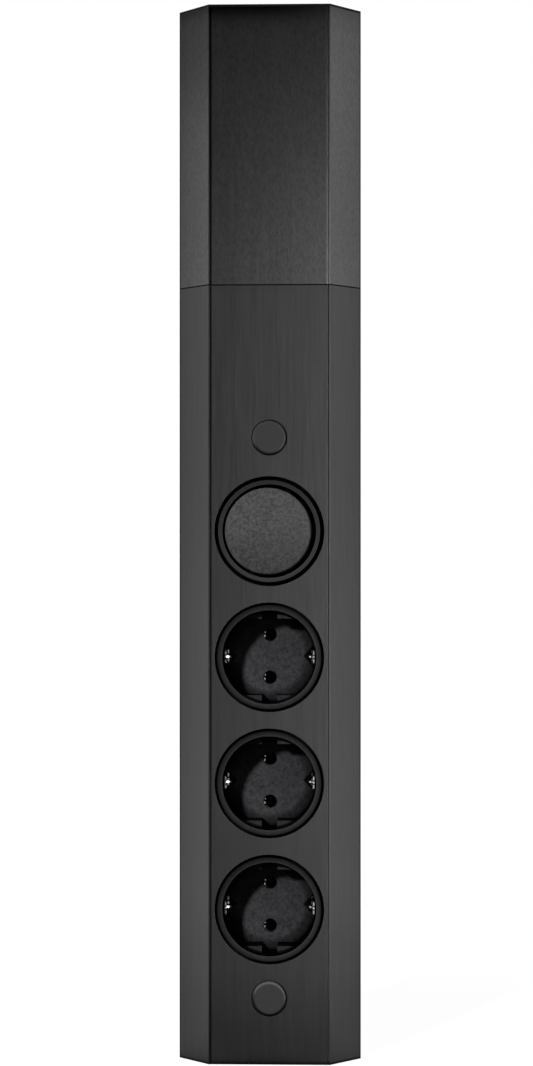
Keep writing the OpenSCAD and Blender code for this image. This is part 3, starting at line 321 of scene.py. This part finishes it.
def socket_moulding(name, node):
    """Black thermoset: satin front ring, finely matt recess floor, smooth walls; painted light and shade."""
    t = new_tree(name)
    # Painted light and shade by the distance from the middle: the ring lit at its inner edge and dark
    # at its outer one, and the recess floor and the keys darker towards the wall
    ring_fall = [(0.0205, 1.75), (0.021, 1.35), (0.0216, 1.05), (0.0222, 0.8), (0.0227, 0.35), (0.0229, 0.1)]
    floor_fall = [(0.0148, 1.0), (0.0157, 0.75), (0.0166, 0.52), (0.0175, 0.38), (0.0193, 0.3)]
    key_fall = [(0.0165, 1.0), (0.0192, 0.9), (0.0196, 0.12), (0.0205, 0.12)]
    recess_y = front_y + 0.0006   # behind the ring's face
    floor_y = front_y + 0.012     # between the keys' faces and the floor
    step = 0.0002

    fine = t.noise(1400, detail=3, roughness=0.6)
    mottle = t.noise(750, detail=2, roughness=0.6)
    broad = t.noise(300, detail=2)
    grain = t.remap(t.blend((fine, 0.3), (mottle, 0.5), (broad, 0.2)), 0, 1, blend_span)
    spot = t.offset(node)
    side = t.axis("X", spot)
    rise = t.axis("Z", spot)
    away = t.length(spot)
    ring = t.times(t.remap(grain, 0.0205, 0.0295, (0, 1)), t.curve(away, ring_fall))
    keys = t.times(t.remap(grain, 0.025, 0.041, (0, 1)), t.curve(away, key_fall))
    floor = t.times(t.remap(grain, 0.024, 0.058, (0, 1)), t.curve(away, floor_fall))

    # The floor has a painted shadow around each clip's slot, and painted light that falls off
    # towards the top right
    near_middle = t.times(t.calc("ABSOLUTE", rise), 0.9)
    to_slot = t.calc("SUBTRACT", t.calc("ABSOLUTE", side), near_middle)
    slot_shadow = t.remap(to_slot, 1.0, 0.12, (0.0145, 0.0149))
    slant = t.remap(t.plus(side, rise), 1.18, 0.84, (-0.016, 0.016))
    floor = t.times(t.times(floor, slot_shadow), slant)

    # Painted shade: walls and other surfaces that face aside are darker
    wall = t.remap(t.facing(), 0.08, 1.0, (0.5, 0.9))
    recess = t.mix(t.behind(floor_y, step), keys, floor)
    level = t.mix(t.behind(recess_y, step), ring, recess)
    colour = t.scaled(blue_black, t.times(level, wall))
    normal = t.bump(fine, 0.00002, t.rounded(soft_edge))
    return t.finish(t.surface(colour, t.remap(broad, 0.36, 0.46), normal, Specular_IOR_Level=0.006))


def insulation(name, colour, stripe=None):
    """A wire's plastic, with slanting stripes where a second colour is given."""
    t = new_tree(name)
    cloud = t.noise(220, detail=3, roughness=0.6)
    tint = t.tint(t.remap(cloud, 0, 1), [part * 0.8 for part in colour], colour)
    if stripe:
        band = t.add("TexWave", "Fac", {"wave_type": "BANDS", "bands_direction": "DIAGONAL"},
                     Vector=t.stretched(120), Scale=0.6, Distortion=0.4)
        tint = t.tint(t.remap(band, 0, 1, (0.48, 0.52)), tint, stripe)
    normal = t.bump(cloud, 0.00003, strength=0.4)
    return t.finish(t.surface(tint, t.remap(cloud, 0.38, 0.5), normal, Specular_IOR_Level=0.4))


# The covers' painted shade at their sawn ends: levels by the distance from the end
foot_fall = [(0, 0.6), (0.0015, 0.82), (0.0035, 0.96), (0.006, 1.0)]
top_fall = [(0.0135, 1.0), (0.0096, 0.92), (0.007, 0.78), (0.0052, 0.62), (0.0035, 0.42), (0.0017, 0.2),
            (0, 0.1)]
foot_shade = [(lower_low[2] + away, level) for away, level in foot_fall]
top_shade = [(upper_high[2] - away, level) for away, level in top_fall]

# Their painted light and shade across the front, from the left facet's outer edge to the right one's:
# each facet darker towards its outer edge, and the groove between the panel and each facet painted
# dark at the left and lit at the right; the upper panel is painted lighter to the right, with a painted
# highlight beside its right groove. The places are distances from the middle, and a level changes
# sharply within one fade.
facet_edge = 0.0393
facet_middle = 0.035
groove_out = 0.0262
groove_in = 0.0252
lip_in = 0.0248
fade = 0.0001
lower_across = [(-facet_edge, 0.78), (-facet_middle, 0.92), (-groove_out - fade, 1.14),
                (-groove_out, 0.6), (-groove_in, 0.6),
                (-groove_in + fade, 1.0), (groove_in, 1.0),
                (groove_in + 2 * fade, 1.9), (groove_out - fade, 1.9),
                (groove_out, 1.08), (facet_middle, 0.97), (facet_edge, 0.85)]
upper_across = [(-facet_edge, 0.76), (-facet_middle, 0.94), (-groove_out - fade, 1.22),
                (-groove_out, 0.33), (-groove_in, 0.33),
                (-groove_in + fade, 0.88), (lip_in - 2 * fade, 1.06),
                (lip_in, 1.38), (groove_in + fade, 1.38),
                (groove_in + 2 * fade, 3.2), (groove_out - fade, 3.2),
                (groove_out, 1.2), (facet_middle, 1.04), (facet_edge, 0.92)]

# Their slow changes of level by the height above the foot, set after the photograph
# Painted light and shade: the covers made lighter or darker by the height above the foot
lower_painted_light = [(0.006, 1.08), (0.017, 1.06), (0.041, 1.12), (0.06, 1.0), (0.0935, 0.87), (0.15, 0.86),
              (0.2, 0.94), (0.26, 0.92), (0.303, 0.95), (0.33, 0.98)]
upper_painted_light = [(0.346, 0.97), (0.368, 0.93), (0.399, 0.95), (0.425, 1.04), (0.444, 1.07), (0.456, 1.13)]

# The cap rims' painted highlight and shade: levels from -1 at their foot to 1 at their top
lower_rim = [(-1, 0.12), (-0.3, 0.3), (0.0, 1.0), (0.3, 2.0), (1, 2.6)]
upper_rim = [(-1, 0.3), (-0.8, 0.35), (-0.5, 1.4), (1, 1.15)]

# One finish for each of the record's slots, and one for the springs
finishes = {
    "cover_black": brushed_cover("cover_black", level=0.0535, contrast=0.12, grainy=False, metallic=0.85,
                                 end_shade=foot_shade, across=lower_across, painted_light_by_height=lower_painted_light),
    "rail_metal": metal("rail_metal", grey(0.5), rough=0.36, fineness=(2200, 2200, 14)),
    "cap_plate": moulding("cap_plate", level=0.005, rough=0.5, fineness=1800, depth=0.00003, spec=0.1),
    "screw_steel": metal("screw_steel", grey(0.55, warm=0.02), rough=0.3, fineness=900),
    "screw_black": metal("screw_black", grey(0.02), rough=0.4, fineness=900),
    "carrier_black": moulding("carrier_black", level=0.015, rough=0.55, fineness=1500, depth=0.00004),
    "screw_cap_black": push_cap("screw_cap_black", "lower_screw_cap", level=0.046, rim_light=lower_rim),
    "socket_black": socket_moulding("socket_black", "lower_socket_insert"),
    "base_white": moulding("base_white", level=0.62, rough=0.45, fineness=900, depth=0.00002, spec=0.4,
                           warm=0.03, spread=0.04),
    "spring_nickel": metal("spring_nickel", grey(0.5, warm=0.04), rough=0.3, fineness=900),
    "clip_nickel": metal("clip_nickel", nickel, rough=0.12, fineness=(500, 500, 1500), edge=0.0003),
    "contact_brass": metal("contact_brass", (0.16, 0.12, 0.06), rough=0.2, fineness=700),
    "switch_black": switch_moulding("switch_black"),
    "rocker_grey": rocker_face("rocker_grey"),
    "grommet_rubber": moulding("grommet_rubber", level=0.02, rough=0.7, fineness=1300, depth=0.00005,
                               spec=0.2),
    "seal_rubber": moulding("seal_rubber", level=0.004, rough=0.75, fineness=1300, depth=0.00005,
                            spec=0.05),
    "wire_brown": insulation("wire_brown", (0.16, 0.07, 0.03)),
    "wire_blue": insulation("wire_blue", (0.03, 0.12, 0.45)),
    "wire_green": insulation("wire_green", (0.1, 0.42, 0.06), stripe=(0.75, 0.62, 0.05)),
}

# Nodes whose finish differs from the rest of their slot, or is centred on them
own_finish = {
    "upper_cover": brushed_cover("cover_black_upper", level=0.073, contrast=0.18, grainy=True, metallic=0.9,
                                 end_shade=top_shade, across=upper_across, painted_light_by_height=upper_painted_light),
    # The two caps differ in level and rim light only as painted light and shade
    "upper_screw_cap": push_cap("screw_cap_black_upper", "upper_screw_cap", level=0.038,
                                rim_light=upper_rim),
}
for row in ("middle", "upper"):
    insert = row + "_socket_insert"
    own_finish[insert] = socket_moulding("socket_black_" + row, insert)
for row in ("lower", "middle", "upper"):
    clip = row + "_earth_clip"
    own_finish[clip] = earth_clip("clip_nickel_" + row, clip)

for name, obj in frame["nodes"].items():
    finish = own_finish[name] if name in own_finish else finishes[slot_of[name]]
    if not obj.material_slots:
        obj.data.materials.append(finish)
    for entry in obj.material_slots:
        entry.material = finish


def new_object(name, data):
    obj = bpy.data.objects.new(name, data)
    bpy.context.scene.collection.objects.link(obj)
    return obj


def add_trim(name, mesh, finish):
    """One piece of the housing from a finished bmesh."""
    bmesh.ops.recalc_face_normals(mesh, faces=mesh.faces)
    data = bpy.data.meshes.new(name)
    mesh.to_mesh(data)
    mesh.free()
    data.materials.append(finishes[finish])
    piece = new_object(name, data)
    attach(piece, "housing")


# Gasket in the joint between the two covers

def strip_mesh(line, width, bottom, top):
    """A flat strip of even width inside a line of (x, y) points, as one closed mesh."""
    inner = []
    for k, (x, y) in enumerate(line):
        ways = [Vector(line[n + 1]) - Vector(line[n]) for n in (k - 1, k) if 0 <= n < len(line) - 1]
        normals = [Vector((-way.y, way.x)).normalized() for way in ways]
        middle = sum(normals, Vector((0, 0))).normalized()
        inner.append(Vector((x, y)) + middle * (width / middle.dot(normals[0])))
    mesh = bmesh.new()
    low_out, low_in, high_out, high_in = (
        [mesh.verts.new((x, y, z)) for x, y in points] for z in (bottom, top) for points in (line, inner))
    last = len(line) - 1
    for k in range(last):
        mesh.faces.new((low_out[k], low_out[k + 1], high_out[k + 1], high_out[k]))
        mesh.faces.new((low_in[k + 1], low_in[k], high_in[k], high_in[k + 1]))
        mesh.faces.new((high_out[k], high_out[k + 1], high_in[k + 1], high_in[k]))
        mesh.faces.new((low_out[k + 1], low_out[k], low_in[k], low_in[k + 1]))
    for k in (0, last):
        mesh.faces.new((low_out[k], high_out[k], high_in[k], low_in[k]))
    return mesh


panel_half = 0.0265        # half the flat panel's width, up to the facets
set_back = 0.0003          # of the gasket behind the covers' faces
return_run = 0.004         # how far it follows the covers' returns along the room's walls
gasket_width = 0.0016
gap_below = 0.00002
gap_above = 0.00006

facet_end_y = front_y + lower_high[0] - panel_half
outer_x = lower_high[0] - set_back * math.sqrt(2)
corner_x = panel_half - set_back * (math.sqrt(2) - 1)
right_line = [(corner_x, front_y + set_back), (outer_x, facet_end_y),
              (outer_x - return_run, facet_end_y + return_run)]
gasket_line = [(-x, y) for x, y in reversed(right_line)] + right_line
gasket = strip_mesh(gasket_line, gasket_width, lower_high[2] + gap_below, upper_low[2] - gap_above)
add_trim("joint_gasket", gasket, "seal_rubber")


# Contact springs in the pin holes, and dark discs behind the sleeves' bores as painted shade

def add_leaf(mesh, x, z, width, height):
    """A spring leaf that stands out of a pin hole's left wall, with its tip rounded off."""
    near = front_y + 0.0173
    far = front_y + 0.0196
    side = [(x, near), (x + width * 0.7, near), (x + width, near + width * 0.4),
            (x + width, (near + far) / 2), (x, far)]
    low, high = ([mesh.verts.new((px, py, z + dz)) for px, py in side] for dz in (-height / 2, height / 2))
    mesh.faces.new(low)
    mesh.faces.new(reversed(high))
    for k in range(len(side)):
        n = (k + 1) % len(side)
        mesh.faces.new((low[k], high[k], high[n], low[n]))


def add_shade_disc(mesh, y, z):
    """A round dark disc across a contact sleeve's foot, as painted shade, with its middle at this y."""
    radius = 0.0031
    thickness = 0.0004
    made = bmesh.ops.create_cone(mesh, cap_ends=True, segments=32, radius1=radius, radius2=radius,
                                 depth=thickness)
    for vert in made["verts"]:
        across, up, along = vert.co
        vert.co = (across, y + along, z + up)


half_pin_pitch = 0.0095
sleeve_foot = front_y + 0.0327
shade_disc_y = sleeve_foot + 0.0003
springs = bmesh.new()
shade_discs = bmesh.new()
for row in ("lower", "middle", "upper"):
    low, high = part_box(row + "_socket_insert")
    for way in (-1, 1):
        pin_z = (low[2] + high[2]) / 2 + way * half_pin_pitch
        add_leaf(springs, x=-0.0025, z=pin_z + 0.0011, width=0.0006, height=0.0005)
        add_leaf(springs, x=-0.0027, z=pin_z - 0.0006, width=0.0007, height=0.0009)
        add_shade_disc(shade_discs, shade_disc_y, pin_z)
add_trim("contact_springs", springs, "spring_nickel")
add_trim("bore_shade_discs", shade_discs, "seal_rubber")


# Floor and background

room_front = 0.03   # how bright a reflection finds the room in front of the tower


def direct_view(t):
    """1 for what the camera, a reflection or a clear material sees, 0 for light on the object."""
    path = t.add("LightPath").node
    seen = t.calc("MAXIMUM", path.outputs["Is Camera Ray"], path.outputs["Is Glossy Ray"])
    return t.calc("MAXIMUM", seen, path.outputs["Is Transmission Ray"])


def floor_material():
    """A pale floor: white where it is far, a little less near the tower, to keep its shadow."""
    t = new_tree("floor_pale")
    speck = t.remap(t.noise(400, detail=2), 0, 1)
    lit = t.add("BsdfDiffuse", Color=t.tint(speck, grey(0.12), grey(0.13)))
    faint = t.add("BsdfDiffuse", Color=t.tint(speck, grey(0.16), grey(0.17)))

    spot = t.place()
    side = t.axis("X", spot)
    depth = t.axis("Y", spot)
    level = t.remap(t.length(spot), 0.93, 1.0, (0.15, 0.7))
    # What the tower mirrors: dim in front of it, with more light from the right, pale behind it
    ahead = t.times(t.remap(side, room_front, 0.35, (-0.05, 0.06)), t.remap(depth, 1.8, 0.8, (-0.3, -0.05)))
    aside = t.times(t.calc("ABSOLUTE", side), 0.7)
    mirrored = t.remap(t.plus(depth, aside), ahead, 0.86, (-0.03, 0.05))
    camera_sees = t.add("LightPath", "Is Camera Ray")
    glow = t.add("Emission", Color=white, Strength=t.times(level, t.calc("MAXIMUM", camera_sees, mirrored)))
    seen = t.add("AddShader", _0=faint, _1=glow)
    return t.finish(t.add("MixShader", _0=direct_view(t), _1=lit, _2=seen))


bpy.ops.mesh.primitive_plane_add(size=24, location=(0, 0, 0))
floor = bpy.context.object
floor.name = "floor"
floor.data.materials.append(floor_material())


def studio_world():
    """White to the camera; reflections see it white behind the tower and dim in front of it."""
    t = Tree(bpy.data.worlds.new("studio"))
    depth = t.axis("Y", t.add("TexCoord", "Generated"))
    room = t.remap(depth, room_front, 1.0, (-0.15, 0.5))
    camera_sees = t.add("LightPath", "Is Camera Ray")
    bright = t.add("Background", Color=white, Strength=t.calc("MAXIMUM", camera_sees, room))
    ambient = t.add("Background", Color=white, Strength=0.014)
    return t.finish(t.add("MixShader", _0=direct_view(t), _1=ambient, _2=bright), "OutputWorld")


bpy.context.scene.world = studio_world()


# Lamps

def area_light(name, place, aim, size, power, lights=True, gleams=True):
    """A soft lamp; lights says that it lights matt surfaces, gleams that glossy ones mirror it."""
    data = bpy.data.lights.new(name, "AREA")
    data.shape = "RECTANGLE"
    data.size, data.size_y = size
    data.energy = power
    lamp = new_object(name, data)
    lamp.location = place
    way = Vector(aim) - Vector(place)
    lamp.rotation_euler = way.to_track_quat("-Z", "Y").to_euler()
    lamp.visible_camera = False
    lamp.visible_diffuse = lights
    lamp.visible_glossy = gleams


area_light("key", place=(-0.73, -1.39, 0.81), aim=(0, -0.02, 0.12), size=(0.16, 0.16), power=28,
           gleams=False)
area_light("front_box", place=(0.2, -0.36, 0.235), aim=(0, -0.02, 0.235), size=(0.2, 0.47), power=1.9,
           lights=False)
area_light("right_panel", place=(0.39, -0.02, 0.285), aim=(0, -0.02, 0.285), size=(0.4, 0.57), power=0.75,
           lights=False)
area_light("left_panel", place=(-0.39, -0.02, 0.25), aim=(0, -0.02, 0.25), size=(0.4, 0.5), power=0.56,
           lights=False)
area_light("back_fill", place=(0.3, 1.2, 0.9), aim=(0, 0, 0.2), size=(0.8, 0.8), power=10)


# Camera: level, a little to the right of the front, with the photograph's framing

photo_width, photo_height = 533, 1066
horizon_row = 580          # from the photograph's top
tower_column = 269.25      # from its left: where the tower's middle stands
metres_per_px = 0.000436   # on the tower's front
sensor = 36                # in millimetres, as the lens is
distance = 0.95
azimuth = math.radians(1.6)
eye_height = 0.2112

camera_data = bpy.data.cameras.new("camera")
camera_data.sensor_fit = "VERTICAL"
camera_data.sensor_height = sensor
camera_data.lens = sensor * distance / (metres_per_px * photo_height)
camera_data.shift_x = (photo_width / 2 - tower_column) / photo_height
camera_data.shift_y = (horizon_row - photo_height / 2) / photo_height
camera_data.clip_start = 0.01
camera = new_object("camera", camera_data)
camera.location = (distance * math.sin(azimuth), front_y - distance * math.cos(azimuth), eye_height)
camera.rotation_euler = (math.radians(90), 0, azimuth)
bpy.context.scene.camera = camera

bpy.context.scene.view_settings.view_transform = "Standard"
